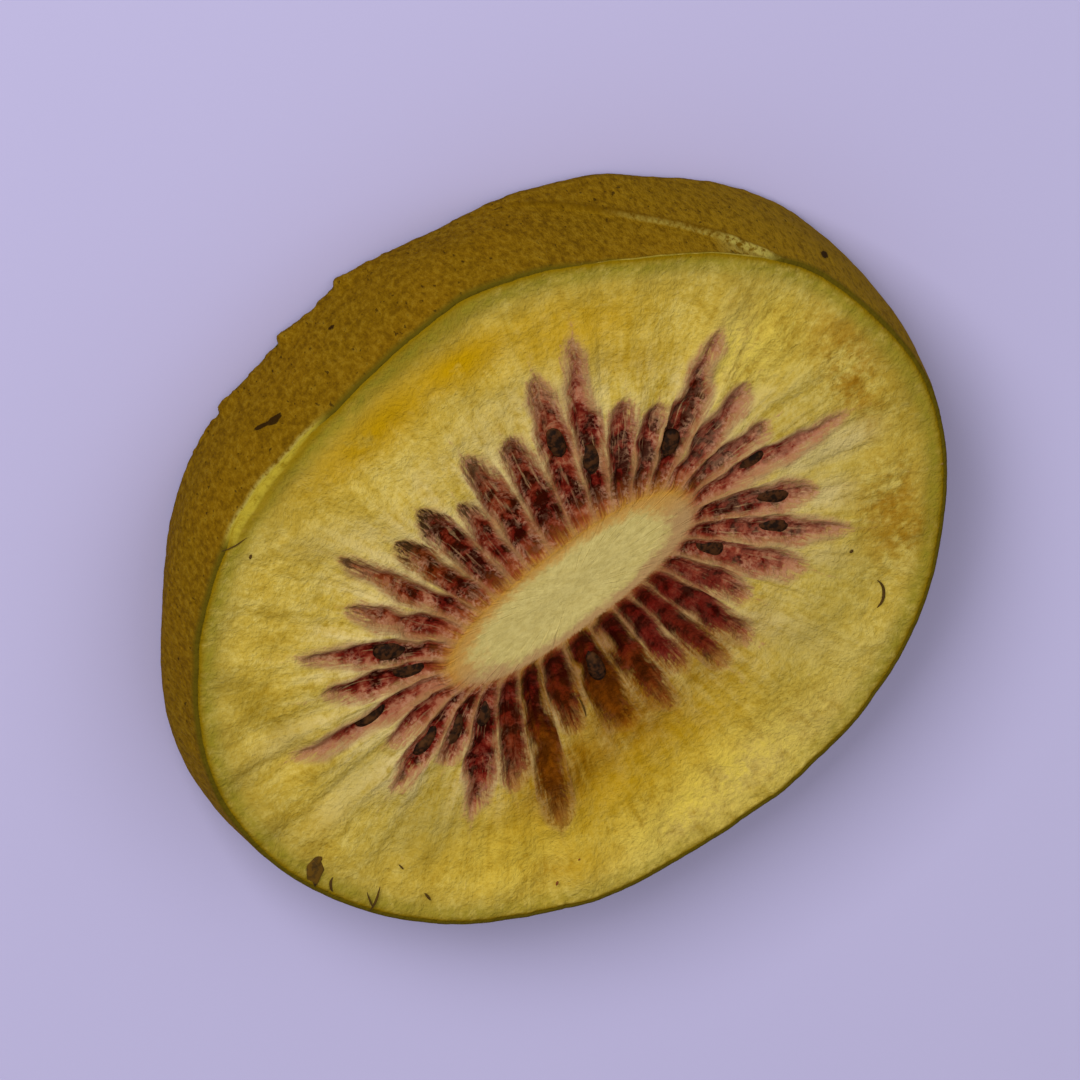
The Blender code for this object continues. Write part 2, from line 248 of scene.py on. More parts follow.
# The skin's cut edge: partly its own greenish colour, partly painted shade where the skin meets the flesh.
SKIN_CUT_AND_SHADE = srgb(84, 70, 10)
SKIN_SCAR = srgb(40, 24, 4)
SKIN_TORN = srgb(158, 144, 66)
SEED = srgb(62, 34, 14)
SEED_DARK = srgb(24, 12, 5)
SEED_PALE = srgb(84, 52, 24)
HAIR = srgb(46, 32, 16)
RUST = srgb(112, 62, 22)
FLAKE = srgb(88, 60, 8)
FLOOR = srgb(180, 173, 212)
WHITE = (1.0, 1.0, 1.0, 1.0)


# --- small helpers ---

def ramp(value, start, end):
    """Rise smoothly from 0 at start to 1 at end."""
    share = np.clip((value - start) / (end - start), 0.0, 1.0)
    return share * share * (3.0 - 2.0 * share)


def plateau(value, start, full, fading, end):
    """Rise smoothly from start to full, stay at 1, and fall from fading to end."""
    return ramp(value, start, full) * (1.0 - ramp(value, fading, end))


def bump(value, middle, width):
    """A smooth bump of height 1, with directions in degrees taken round the circle."""
    distance = (value - middle + 180.0) % 360.0 - 180.0
    return np.exp(-((distance / width) ** 2))


def signed_power(value, power):
    return np.sign(value) * np.abs(value) ** power


def grain(points, size, offset=0.0, octaves=1):
    """Smooth noise, about -1 to 1, whose features are size across."""
    flat = (points.reshape(-1, 3) / size + offset).tolist()
    total = np.zeros(len(flat))
    for octave in range(octaves):
        scale = 2.0 ** octave
        values = [noise.noise((x * scale, y * scale, z * scale)) for x, y, z in flat]
        total += np.array(values) / scale
    return total.reshape(points.shape[:-1])


# --- plan of a face ---

def rim_point(direction, growth=0.0):
    """Point on the rim of the face, grown outwards by growth."""
    waves = sum(share * np.cos(count * (direction - math.radians(crest)))
                for count, share, crest in OUTLINE_WAVES)
    bulges = sum(share * bump(np.degrees(direction), middle, width)
                 for middle, width, share in OUTLINE_BULGES)
    x = (FACE_LENGTH / 2 * (1 + waves + bulges) + growth) * np.cos(direction)
    y = (FACE_WIDTH / 2 * (1 + waves + bulges) + growth) * np.sin(direction)
    return np.stack([x, y], axis=-1)


def core_point(direction):
    """Point on the edge of the core, a long rounded bar turned by CORE_TURN."""
    power = 2.0 / CORE_ROUNDNESS
    along = CORE_LENGTH / 2 * signed_power(np.cos(direction), power)
    across = CORE_WIDTH / 2 * signed_power(np.sin(direction), power)
    x = CORE_CENTRE[0] + along * math.cos(CORE_TURN) - across * math.sin(CORE_TURN)
    y = CORE_CENTRE[1] + along * math.sin(CORE_TURN) + across * math.cos(CORE_TURN)
    return np.stack([x, y], axis=-1)


def leaned(direction):
    """Where a chamber that starts at direction on the core meets the rim."""
    amount, middle, width = LEAN
    return direction + amount * bump(np.degrees(direction), middle, width)


def face_point(share, direction):
    """Point a given share of the way from the core's edge to the rim.

    A negative share lies inside the core: -1 is its middle.
    """
    core = core_point(direction)
    rim = rim_point(leaned(direction))
    outside = core + np.maximum(share, 0.0)[..., None] * (rim - core)
    return outside + np.minimum(share, 0.0)[..., None] * (core - CORE_CENTRE)


def peeled(degrees):
    """1 along the strip of the upper edge that has lost its skin, 0 elsewhere."""
    return plateau(degrees, PEEL_FROM, PEEL_FROM + 5, PEEL_TO - 4, PEEL_TO)


def peel_width(degrees):
    """How far the strip has widened, from 0 at its narrow end to 1."""
    return ramp(degrees, PEEL_FROM + 2, PEEL_FROM + 18)


def peel_edge(degrees):
    """Share of the way to the rim at which that strip begins."""
    return EDGE_SHARE - PEEL_SHARE * peel_width(degrees)


def slant_depth(degrees):
    """Depth of the lower edge of a shallow slanting cut in the skin."""
    return SLANT_DEPTH * np.clip((degrees - SLANT_START) / (SLANT_END - SLANT_START), 0.001, 1.0)


def flake(offset):
    """Outline of a torn flake of skin: it starts with a step and dies away."""
    return ramp(offset, 0.9, 0.0) * np.clip(1.0 + offset / (2.4 * FLAKE_WIDTH), 0.0, 1.0) ** 1.4


def wall_growth(depth, degrees):
    """How far the skin stands outside the face's outline at a depth below the face."""
    share = depth / THICKNESS
    growth = BARREL * np.sin(math.pi * np.clip(share, 0.0, 1.0)) + UNDER_GROWTH * share
    fade = plateau(degrees, SLANT_START, SLANT_START + 3, SLANT_END - 12, SLANT_END + 8)
    growth = growth - SLANT_RECESS * fade * ramp(slant_depth(degrees) - depth, -0.06, 0.10)
    wander = sum(reach * bump(degrees, middle, width) for middle, reach, width in LOWER_EDGE)
    growth = growth + wander * ramp(share, 0.45, 1.0)
    torn = sum(reach * flake(degrees - middle) for middle, reach in FLAKES)
    return growth + torn * ramp(share, 0.80, 0.95)


def centre_shift():
    """The solid is centred on its box, so the face's own middle lies off the origin."""
    degrees = np.linspace(0.0, 360.0, 721)
    depths = np.linspace(0.0, THICKNESS, 12)[:, None]
    growth = wall_growth(depths, degrees[None, :])
    outline = rim_point(np.radians(degrees)[None, :], growth).reshape(-1, 2)
    return -(outline.min(axis=0) + outline.max(axis=0)) / 2


SHIFT = centre_shift()

# The underside's chambers have the same directions as those above, but other reaches.
draw = random.Random(RANDOM_SEED)
UPPER_REACHES = [chamber[1] for chamber in CHAMBERS]
UNDER_REACHES = [min(0.7, reach * draw.uniform(0.75, 1.3)) for reach in UPPER_REACHES]


# --- where a point lies in the pattern of chambers ---

def chamber_fields(share, direction, reaches):
    """Fields of the nearest seed chamber, for arrays of shares and directions.

    inside is the distance in from the chamber's edge, negative outside it, along runs
    from 0 at the core to 1 at the chamber's tip, and wine and brown are its tones.  The
    others say how far the chambers of one side differ in colour, and ray is the pale
    ridge between two chambers.
    """
    angles, _, _, width, wine, brown = [np.array(column, dtype=float) for column in zip(*CHAMBERS)]
    angles, reach = np.radians(angles), np.array(reaches)
    after = np.searchsorted(angles, direction % TURN, side="right") % len(angles)
    before = (after - 1) % len(angles)
    gap = (angles[after] - angles[before]) % TURN
    part = ((direction - angles[before]) % TURN) / gap
    owner = np.where(part < 0.5, before, after)
    place = 2.0 * np.where(part < 0.5, part, part - 1.0)

    step = 0.01                         # radians, to measure the distance between spokes
    ahead = face_point(share, direction + step) - face_point(share, direction - step)
    half_pitch = gap / 2 * np.linalg.norm(ahead, axis=-1) / (2 * step)
    spot = np.concatenate([face_point(share, direction), owner[..., None] * 3.7], axis=-1)
    wander = (0.36 * grain(spot, 2.0, 50.0) + 0.13 * grain(spot, 0.8, 90.0)) * ramp(share, 0.0, 0.15)
    swell = 1.0 + 0.55 * grain(spot, 1.7, 70.0)
    along = np.maximum(share, 0.0) / reach[owner]
    blunt = np.sqrt(np.clip(1.0 - ((along - 0.5) / 0.56) ** 2, 0.0, 1.0)) ** 0.6
    profile = np.where(along < 0.5, ramp(along, -0.10, 0.06), blunt * (1.0 - 0.16 * ramp(along, 0.4, 0.9)))
    half_width = np.minimum(CHAMBER_SWELL * swell * width[owner] / 2, 0.86 * half_pitch) * profile
    half_width = half_width * (1.0 - 0.45 * ramp(share, 0.32, 0.60) * (brown[owner] < 0.8))
    inside = half_width - np.abs(place * half_pitch + wander) - 0.5 * ramp(along, 0.92, 1.12)
    degrees = np.degrees(direction)
    from_septum = (1.0 - np.abs(place)) * half_pitch
    ray = np.exp(-((from_septum / RAY_WIDTH) ** 2)) * plateau(share, 0.12, 0.30, 0.40, 0.66)
    return {
        "inside": np.clip(inside, -1.0, 1.0),
        "along": np.clip(along, 0.0, 2.0),
        "wine": wine[owner],
        "brown": brown[owner],
        "fringe": 0.15 + 0.85 * ramp(np.sin(direction - CORE_TURN), -0.35, 0.35),
        "wisp": bump(degrees, 110, 32),
        "veil": bump(degrees, 355, 40),
        "pallor": bump(degrees, 322, 38),
        "ruddy": bump(degrees, 50, 28),
        "velvet": ramp(np.cos(direction - math.radians(264)), 0.62, 0.92),
        "ray": ray * (0.35 + 0.65 * bump(degrees, 145, 75)),
    }


def oval(east, north, length, width, turn):
    """Squared distance from the middle of a turned oval, 1 on its edge."""
    heading = math.radians(turn)
    u = (east * math.cos(heading) + north * math.sin(heading)) / length
    v = (north * math.cos(heading) - east * math.sin(heading)) / width
    return u * u + v * v


def patch_fields(points):
    """Soft oval patches of colour, by field name."""
    fields = {}
    for name, patches in PATCHES.items():
        fields[name] = np.zeros(points.shape[:-1])
        for x, y, length, width, turn, strength in patches:
            spread = oval(points[..., 0] - x, points[..., 1] - y, length, width, turn)
            fields[name] = np.maximum(fields[name], strength * np.exp(-spread ** 1.3))
    return fields


# --- heights ---

def flesh_wave(points):
    """Uneven surface of the dried flesh, from -1 to 1."""
    total = 0.0
    for travel, wavelength, phase in FLESH_WAVES:
        heading = math.radians(travel)
        along = points[..., 0] * math.cos(heading) + points[..., 1] * math.sin(heading)
        total = total + np.sin(TURN * along / wavelength + phase)
    return total / len(FLESH_WAVES)


def streak_space(share, direction):
    """Coordinates in which features are drawn out along the chambers, with no seam."""
    around, outward = STREAK_SPAN
    return np.stack([around * np.cos(direction), around * np.sin(direction), outward * share], axis=-1)


def fine_relief(points, streaks, inside, share):
    """Lumps, fibres and pores of the dried pulp, finer than the solid shows."""
    spot = np.concatenate([points, np.zeros(points.shape[:-1] + (1,))], axis=-1)
    flesh = ramp(share, 0.02, 0.25)
    level_rim = 1.0 - 0.65 * ramp(share, 0.88, 1.0)
    lumps = 0.20 * grain(spot, 2.6, 3.0, octaves=2) * flesh * level_rim
    left = np.exp(-((np.degrees(np.arctan2(points[..., 1], -points[..., 0])) / 62) ** 2))
    pleats = (0.40 + 0.35 * left) * grain(streaks * PLEAT_STRETCH, 2.4, 13.0)
    pleats = pleats * ramp(share, 0.25, 0.5) * level_rim
    fibres = 0.07 * grain(streaks, 0.9, 7.0, octaves=2) * ramp(share, -0.05, 0.1)
    pulp = 0.10 * grain(streaks, 0.42, 17.0, octaves=2) * ramp(inside, 0.0, 0.3)
    crumbs = 0.035 * grain(spot, 0.6, 29.0, octaves=2)
    pores = -0.10 * ramp(grain(spot, 0.8, 41.0), 0.45, 0.75) * flesh
    return lumps + pleats + fibres + pulp + crumbs + pores


def chamber_valley(fields, share):
    """Depth of a chamber's valley, less the rise of the septum beside it."""
    near = ramp(share, 0.0, 0.06) * (1.0 - ramp(fields["along"], 0.85, 1.25))
    valley = CHAMBER_DEPTH * ramp(fields["inside"], -0.35, 0.75)
    ridge = SEPTUM_RISE * (1.0 - ramp(fields["inside"], -0.25, 0.05))
    return near * (valley - ridge) - RAY_RISE * fields["ray"]


def upper_height(share, direction, fields, points, streaks):
    level = THICKNESS - FACE_INSET + FLESH_WAVE * flesh_wave(points) * ramp(share, 0.1, 0.5)
    level = level + CORE_RISE * (1.0 - ramp(share, 0.0, 0.10))
    level = level - chamber_valley(fields, share)
    degrees = np.degrees(direction) % 360.0
    start = peel_edge(degrees)
    widening = (1.0 - start) / (1.0 - EDGE_SHARE + PEEL_SHARE)
    peel = (PEEL_DEPTH - EDGE_FALL) * widening * peeled(degrees) * ramp(share, start, 1.0)
    level = level - EDGE_FALL * ramp(share, EDGE_SHARE, 1.0) - peel
    return level + fine_relief(points, streaks, fields["inside"], share)


def under_height(share, direction, fields, points, streaks):
    """The underside lay on a tray, so its crests are pressed flat at z = 0."""
    level = UNDER_WAVE * flesh_wave(-points) * ramp(share, 0.3, 0.6)
    level = level + chamber_valley(fields, share) + RIM_FALL * ramp(share, 0.93, 1.0)
    level = level - 0.6 * fine_relief(points, streaks, fields["inside"], share)
    return np.maximum(level, 0.0)


# --- meshes ---

def placed(name, data):
    """A new object of the scene."""
    made = bpy.data.objects.new(name, data)
    bpy.context.scene.collection.objects.link(made)
    return made


def mesh_piece(name, points, faces, fields):
    """An object from points in millimetres, with the fields as attributes."""
    mesh = bpy.data.meshes.new(name)
    moved = np.array(points, dtype=float)
    moved[:, :2] += SHIFT
    mesh.from_pydata((moved * MM).tolist(), [], faces)
    mesh.update()
    for field, values in fields.items():
        values = np.asarray(values, dtype=np.float32)
        kind, slot = ("FLOAT_VECTOR", "vector") if values.ndim == 2 else ("FLOAT", "value")
        attribute = mesh.attributes.new(field, kind, "POINT")
        attribute.data.foreach_set(slot, values.ravel())
    mesh.shade_smooth()
    return placed(name, mesh)


def ring_faces(rows, count, closed=False):
    """Quads between neighbouring rings of a grid of points, row after row."""
    row = np.arange(rows if closed else rows - 1)[:, None]
    here = np.arange(count)[None, :]
    following = (here + 1) % count
    below = (row + 1) % rows
    quads = np.stack([row * count + here, below * count + here,
                      below * count + following, row * count + following], axis=-1)
    return quads.reshape(-1, 4).tolist()


def capped_faces(rows, count):
    """Faces of a grid of rings, with a fan over each end round one of two last points."""
    faces = ring_faces(rows, count)
    first, last, end = rows * count, rows * count + 1, (rows - 1) * count
    for k in range(count):
        following = (k + 1) % count
        faces.append([first, k, following])
        faces.append([last, end + following, end + k])
    return faces


def shifted(faces, start):
    """The same faces for points that are numbered from start."""
    return [[index + start for index in face] for face in faces]


def laid(shape, heading, x, y, level):
    """A shape turned about the vertical by heading, with its middle moved to a place."""
    return np.column_stack([
        shape[:, 0] * math.cos(heading) - shape[:, 1] * math.sin(heading) + x,
        shape[:, 0] * math.sin(heading) + shape[:, 1] * math.cos(heading) + y,
        shape[:, 2] + level,
    ])


def add_bake_map(piece, shown, hidden, first_hidden):
    """Lay the piece out for baking, by two tables of places for the piece's vertices.

    Faces with a vertex of first_hidden or later take theirs from the table hidden.
    """
    layer = piece.data.uv_layers.new(name="OFBake")
    places = np.empty((len(piece.data.loops), 2), dtype=np.float32)
    for face in piece.data.polygons:
        table = hidden if max(face.vertices) >= first_hidden else shown
        for loop, vertex in zip(face.loop_indices, face.vertices):
            places[loop] = table[vertex]
    layer.uv.foreach_set("vector", places.ravel())


def flesh_edge(rim_direction, upward):
    """Plan of the edge of a cut face's flesh, which lies inside the skin."""
    degrees = np.degrees(rim_direction) % 360.0
    if upward:
        thinning = 1.0 - 0.8 * peeled(degrees) * peel_width(degrees)
        return rim_point(rim_direction, -SKIN_THICKNESS / 2 * thinning)
    return rim_point(rim_direction, wall_growth(THICKNESS, degrees) - SKIN_THICKNESS)


def cut_face(name, spokes, row_counts, reaches, height_rule, upward):
    """One cut face with its relief, closed below by a plain hidden wall and floor."""
    stretches = [np.linspace(*ends, endpoint=False) for ends in zip(ROW_ENDS, ROW_ENDS[1:], row_counts)]
    shares = np.concatenate([*stretches, ROW_ENDS[-1:]])
    direction = np.linspace(0.0, TURN, spokes, endpoint=False)[None, :]
    share, direction = np.broadcast_arrays(shares[:, None], direction)
    fields = chamber_fields(share, direction, reaches)
    points = face_point(share, direction)
    streaks = streak_space(share, direction)
    height = height_rule(share, direction, fields, points, streaks)
    rim = flesh_edge(leaned(direction[-1]), upward)
    points = points + (rim - points[-1]) * ramp(share, 0.7, 1.0)[..., None]
    level = np.full(spokes, THICKNESS / 2)
    hidden = [np.column_stack([rim * size, level]) for size in HIDDEN_RINGS]
    grid = np.concatenate([points, height[..., None]], axis=-1)
    rings = np.concatenate([grid, np.stack(hidden)])
    rows = len(rings)
    middle = [[*CORE_CENTRE, height[0].mean()], [0.0, 0.0, THICKNESS / 2]]
    flat = np.concatenate([rings.reshape(-1, 3), middle])
    faces = capped_faces(rows, spokes)
    if not upward:
        faces = [face[::-1] for face in faces]
    fields |= {"share": share, "streak": streaks, **tint_fields(share, direction, points, upward)}
    for key, values in fields.items():
        unseen = np.zeros((len(flat) - share.size,) + values.shape[2:])
        fields[key] = np.concatenate([values.reshape((-1,) + values.shape[2:]), unseen])
    fields["share"][-2] = -1.0
    fields["inside"][-2:] = -1.0
    piece = mesh_piece(name, flat, faces, fields)
    add_bake_map(piece, *face_layout(flat, spokes, rows), first_hidden=(rows - 2) * spokes)
    return piece


def tint_fields(share, direction, points, upward):
    """Patches of colour, the darker rim, and the strip beside the peeled edge with its band of painted
    shade. The darker rim is partly the flesh's own greener colour and partly painted shade, weaker on the
    lit low side.
    """
    fields = patch_fields(points if upward else points * np.array([-1.0, 1.0]))
    degrees = np.degrees(direction)
    bare, sunny = 0.0, 0.5
    if upward:
        bare = peeled(np.degrees(leaned(direction)) % 360.0)
        sunny = np.maximum(bump(degrees, 250, 34), 1.6 * bump(degrees, 274, 17))
    # painted shade: the flesh darkens towards the rim, except on the lit low side
    painted_rim_shade = 0.5 * ramp(share, 0.80, 0.96) * np.maximum(1.0 - sunny, 0.0)
    fields["dull"] = np.maximum(fields["dull"], painted_rim_shade)
    # rim: strength of the rim's painted shade, weaker where the low side is lit
    fields["rim"] = np.broadcast_to(1.0 - 0.5 * sunny, share.shape)
    beyond = share - peel_edge(degrees)
    fields["strip"] = bare * ramp(beyond, 0.012, 0.024)
    fields["shade"] = 0.7 * bare * plateau(beyond, -0.025, 0.005, 0.012, 0.026)
    return fields


def face_layout(flat, spokes, rows):
    """Bake map of a cut face: the face itself, above a strip for the hidden wall and floor."""
    strip, room = 0.06, 1.06            # height of the strip, and the map's size in faces
    shown = np.empty((len(flat), 2))
    shown[:, 0] = 0.5 + flat[:, 0] / (FACE_LENGTH * room)
    shown[:, 1] = strip + (1 - strip) * (0.5 + flat[:, 1] / (FACE_WIDTH * room))
    hidden = np.zeros((len(flat), 2))
    spoke = np.arange(rows * spokes) % spokes
    row = np.arange(rows * spokes) // spokes
    hidden[:-2, 0] = 0.98 * np.minimum(spoke, spokes - spoke) * 2 / spokes
    hidden[:-2, 1] = strip * 0.9 * (row - rows + 3) / 3
    hidden[-1] = (0.5, strip * 0.9)
    return shown, hidden


def height_at(share, direction, reaches, height_rule, points=None):
    """Height of a face's flesh, for shares and directions."""
    share, direction = np.atleast_1d(share), np.atleast_1d(direction)
    fields = chamber_fields(share, direction, reaches)
    points = face_point(share, direction) if points is None else points
    return height_rule(share, direction, fields, points, streak_space(share, direction))


def make_skin():
    """The skin: a thin band round the flesh, with a lip at either cut face."""
    direction = np.linspace(0.0, TURN, SKIN_SPOKES, endpoint=False)
    rim_direction = leaned(direction)
    degrees = np.degrees(rim_direction) % 360.0
    edge = np.ones(SKIN_SPOKES)
    top = THICKNESS - height_at(edge, direction, UPPER_REACHES, upper_height) + 0.02
    bottom = THICKNESS - height_at(edge, direction, UNDER_REACHES, under_height) - 0.04
    inner_depths = np.linspace(bottom.min() - 0.2, top.max() + 0.3, 4)
    rings, depths = [], []

    def ring(depth, inset):
        depth = np.broadcast_to(depth, degrees.shape)
        plan = rim_point(rim_direction, wall_growth(depth, degrees) - inset)
        rings.append(np.column_stack([plan, THICKNESS - depth]))
        depths.append(depth)

    ring(top + 0.06, SKIN_THICKNESS)
    ring(top - 0.02, SKIN_THICKNESS * 0.70)
    ring(top - 0.02, SKIN_THICKNESS * 0.30)
    for share in np.linspace(0.0, 1.0, SKIN_ROWS):
        depth = top + 0.05 + share * (bottom - top - 0.1)
        ring(depth, 0.02 * max(0.0, 1.0 - share * 20) + 0.12 * max(0.0, share * 20 - 19))
    ring(bottom, SKIN_THICKNESS * 0.4)
    for depth in inner_depths:
        ring(depth, SKIN_THICKNESS + 0.1)
    grid = np.stack(rings)
    depth_grid = np.stack(depths)
    outer = np.zeros(len(rings))
    outer[3:3 + SKIN_ROWS] = 1.0
    grid = skin_relief(grid, depth_grid, degrees, outer)
    fields = {"outer": np.repeat(outer, SKIN_SPOKES), **skin_marks(depth_grid, degrees, top)}
    return mesh_piece("skin", grid.reshape(-1, 3), ring_faces(len(rings), SKIN_SPOKES, closed=True), fields)


def skin_marks(depth, degrees, top):
    """Marks on the skin: a scar, dark dots, the shallow slanting cut with painted shade under its step, and
    the upper lip with a band of painted shade.
    """
    millimetres = math.radians(1) * (FACE_LENGTH + FACE_WIDTH) / 4
    scar = np.zeros(depth.shape)
    for middle, level, length, width, turn in SCARS:
        spread = oval((degrees - middle) * millimetres, depth - level, length, width, turn)
        scar = np.maximum(scar, np.exp(-spread ** 1.5))
    cut = slant_depth(degrees)
    past = degrees - SLANT_START
    shown = plateau(past, 0, 3, SLANT_END - SLANT_START - 4, SLANT_END - SLANT_START + 4)
    # painted shade: a dark line under the step of the slanting cut
    crease_shade = shown * np.exp(-((depth - cut - 0.12) / 0.22) ** 2)
    fresh = plateau(past, -3, 0, 8, 12)
    line = plateau(past, 6, 9, 20, 27)
    torn = fresh * ramp(depth, cut + 0.25, cut) * (0.45 + 0.55 * np.exp(-((depth - cut) / 0.25) ** 2))
    torn = np.maximum(torn, 0.55 * line * np.exp(-((depth - cut + 0.05) / 0.08) ** 2))
    torn = np.maximum(torn, 0.8 * peeled(degrees) * ramp(depth - top, 0.45, 0.0))
    bare = np.broadcast_to(peeled(degrees), depth.shape)
    # lip: painted shade, a dark band on the skin just below its upper cut edge
    lip = (1.0 - bare) * ramp(depth - top, 0.55, 0.05)
    ends = np.maximum(bump(degrees, 10, 34), 0.35 * bump(degrees, 190, 24))
    marks = {"scar": scar, "crease_shade": crease_shade, "torn": torn, "lip": lip, "bare": bare,
             "faded": np.broadcast_to(ends, depth.shape)}
    return {name: values.ravel() for name, values in marks.items()}


def skin_relief(grid, depth, degrees, outer):
    """Move the outer rows of the skin in and out by its wrinkles and pores."""
    around = np.stack([grid[..., 0], grid[..., 1], grid[..., 2] * 0.45], axis=-1)
    wrinkles = 0.06 * grain(around, 1.5, 5.0, octaves=3)
    pores = -0.05 * ramp(grain(grid, 0.55, 11.0), 0.35, 0.7)
    ragged = 0.04 + 0.14 * np.exp(-(((degrees - 108.0) / 26.0) ** 4))
    fray = ragged * grain(grid, 0.7, 31.0, octaves=2) * ramp(depth, 0.86 * THICKNESS, 0.95 * THICKNESS)
    push = (wrinkles + pores + fray) * outer[:, None] * ramp(depth, 0.3, 0.9)
    outward = grid[..., :2] / np.linalg.norm(grid[..., :2], axis=-1, keepdims=True)
    moved = grid.copy()
    moved[..., :2] += outward * push[..., None]
    return moved


# --- seeds ---

def seed_shape(around=20, rows=14):
    """A flattened drop, pointed at the end that was joined to the core."""
    points = []
    for i in range(1, rows):
        lat = math.pi * i / rows
        x = -math.cos(lat)
        radius = math.sin(lat) * (1.0 - 0.22 * (1 - x) / 2) * (0.86 if i == 1 else 1.0)
        for k in range(around):
            angle = TURN * k / around
            points.append([x, radius * math.cos(angle), radius * math.sin(angle)])
    points.extend([[-1.08, 0.0, 0.0], [1.0, 0.0, 0.0]])
    return np.array(points), [face[::-1] for face in capped_faces(rows - 1, around)]


def seed_place(share, degrees):
    """Middle of a seed on the face, and the direction of its chamber there."""
    here, ahead = face_point(np.array([share, share + 0.05]), np.array([math.radians(degrees)]))
    return here, math.atan2(ahead[1] - here[1], ahead[0] - here[0])


def make_seeds():
    shape, shape_faces = seed_shape()
    places = []
    for degrees, _, share, *_ in CHAMBERS:
        if share is not None:
            floor = height_at(share, math.radians(degrees), UPPER_REACHES, upper_height)[0]
            buried = 0.22 * bump(degrees, 345, 40) + 0.12 * bump(degrees, 190, 30)
            places.append((share, degrees, floor - SEED_SINK + 0.1 - buried))
    step = len(CHAMBERS) / UNDER_SEEDS
    for number in range(UNDER_SEEDS):
        degrees = CHAMBERS[int(number * step + draw.uniform(0, step - 1))][0]
        share = draw.uniform(0.14, 0.30)
        floor = height_at(share, math.radians(degrees), UNDER_REACHES, under_height)[0]
        places.append((share, degrees, max(floor + SEED_SINK, SEED_SIZE[2] / 2 + 0.02)))
    points, faces = [], []
    for share, degrees, height in places:
        here, heading = seed_place(share, degrees)
        size = np.array(SEED_SIZE) / 2 * np.array([draw.uniform(0.88, 1.1), draw.uniform(0.9, 1.15), 1.0])
        heading += draw.uniform(-0.15, 0.15)
        faces.extend(shifted(shape_faces, len(points) * len(shape)))
        points.append(laid(shape * size, heading, *here, height))
    return mesh_piece("seeds", np.concatenate(points), faces, {})


# --- hairs and flecks ---
# Hairs on the upper face: (x, y, length, heading in degrees, curl, thickness).
HAIRS = (
    (16.2, -14.5, 2.3, 60, 1.9, 0.22), (-23.9, -8.8, 1.5, 48, -1.5, 0.20),
    (-22.4, -11.6, 1.8, 37, 0.3, 0.18), (-22.7, -11.5, 1.25, 77, -0.3, 0.13),
    (-16.6, 17.9, 1.9, -8, 0.2, 0.10), (-19.5, -13.9, 0.7, 95, 0.2, 0.18),
    (-19.8, -10.8, 0.5, 100, 0.2, 0.12), (-4.0, -8.4, 1.6, 80, 0.3, 0.12),
)
# Flecks of skin there: (x, y, length, width, heading in degrees).
FLECKS = (
    (-24.6, -7.1, 1.9, 1.3, 60), (-24.2, -6.5, 1.0, 0.7, 10), (16.4, -10.6, 0.32, 0.28, 0),
    (-16.2, 16.4, 0.42, 0.24, 50), (-12.0, -18.9, 0.36, 0.20, 40), (-9.9, -18.2, 0.22, 0.16, 0),
)
FLECK_THICKNESS = 0.16
LIFT = 0.06                         # of a hair's or a fleck's middle above the flesh
HAIR_STEPS = 12
HAIR_SIDES = 6


def surface_level(x, y):
    """Height of the upper face's flesh at a point near its rim."""
    direction = math.atan2(y / FACE_WIDTH, x / FACE_LENGTH)
    core, rim = face_point(np.array([0.0, 1.0]), np.array([direction]))
    share = math.hypot(x - core[0], y - core[1]) / math.hypot(*(rim - core))
    return height_at(share, direction, UPPER_REACHES, upper_height, np.array([[x, y]]))[0]


def fleck_shapes():
    """Flat lumpy grains, as points and faces: two of a pale flake, two dark, two rusty."""
    shape, shape_faces = seed_shape(12, 6)
    points, faces = [], []
    for x, y, length, width, heading in FLECKS:
        body = shape * np.array([length, width, FLECK_THICKNESS]) / 2
        body = body * (1.0 + 0.35 * grain(body + [x, y, 0.0], 0.5))[:, None]
        faces.extend(shifted(shape_faces, len(points)))
        points.extend(laid(body, math.radians(heading), x, y, surface_level(x, y) + LIFT).tolist())
    return points, faces


def make_hairs():
    points, faces = fleck_shapes()
    flake_points = 2 * len(points) // len(FLECKS)
    for x, y, length, heading, curl, thickness in HAIRS:
        angle = math.radians(heading)
        at = np.array([x, y]) - length / 2 * np.array([math.cos(angle), math.sin(angle)])
        angle -= curl / 2
        start = len(points)
        for i in range(HAIR_STEPS + 1):
            radius = thickness / 2 * max(0.25, math.sin(math.pi * (0.12 + 0.8 * i / HAIR_STEPS)))
            side = np.array([-math.sin(angle), math.cos(angle)])
            level = surface_level(*at) + LIFT + 0.05 * math.sin(5.0 * i / HAIR_STEPS)
            for k in range(HAIR_SIDES):
                turn = TURN * k / HAIR_SIDES
                points.append([*(at + side * radius * math.cos(turn)), level + radius * math.sin(turn)])
            at = at + length / HAIR_STEPS * np.array([math.cos(angle), math.sin(angle)])
            angle += curl / HAIR_STEPS
        tube = [face[::-1] for face in ring_faces(HAIR_STEPS + 1, HAIR_SIDES)]
        far_end = range(HAIR_STEPS * HAIR_SIDES, (HAIR_STEPS + 1) * HAIR_SIDES)
        faces.extend(shifted([*tube, range(HAIR_SIDES - 1, -1, -1), far_end], start))
    order = np.arange(len(points))
    rusty = (order >= 2 * flake_points) & (order < 3 * flake_points)
    return mesh_piece("hairs", np.array(points), faces, {"flake": order < flake_points, "rust": rusty})


# --- materials ---

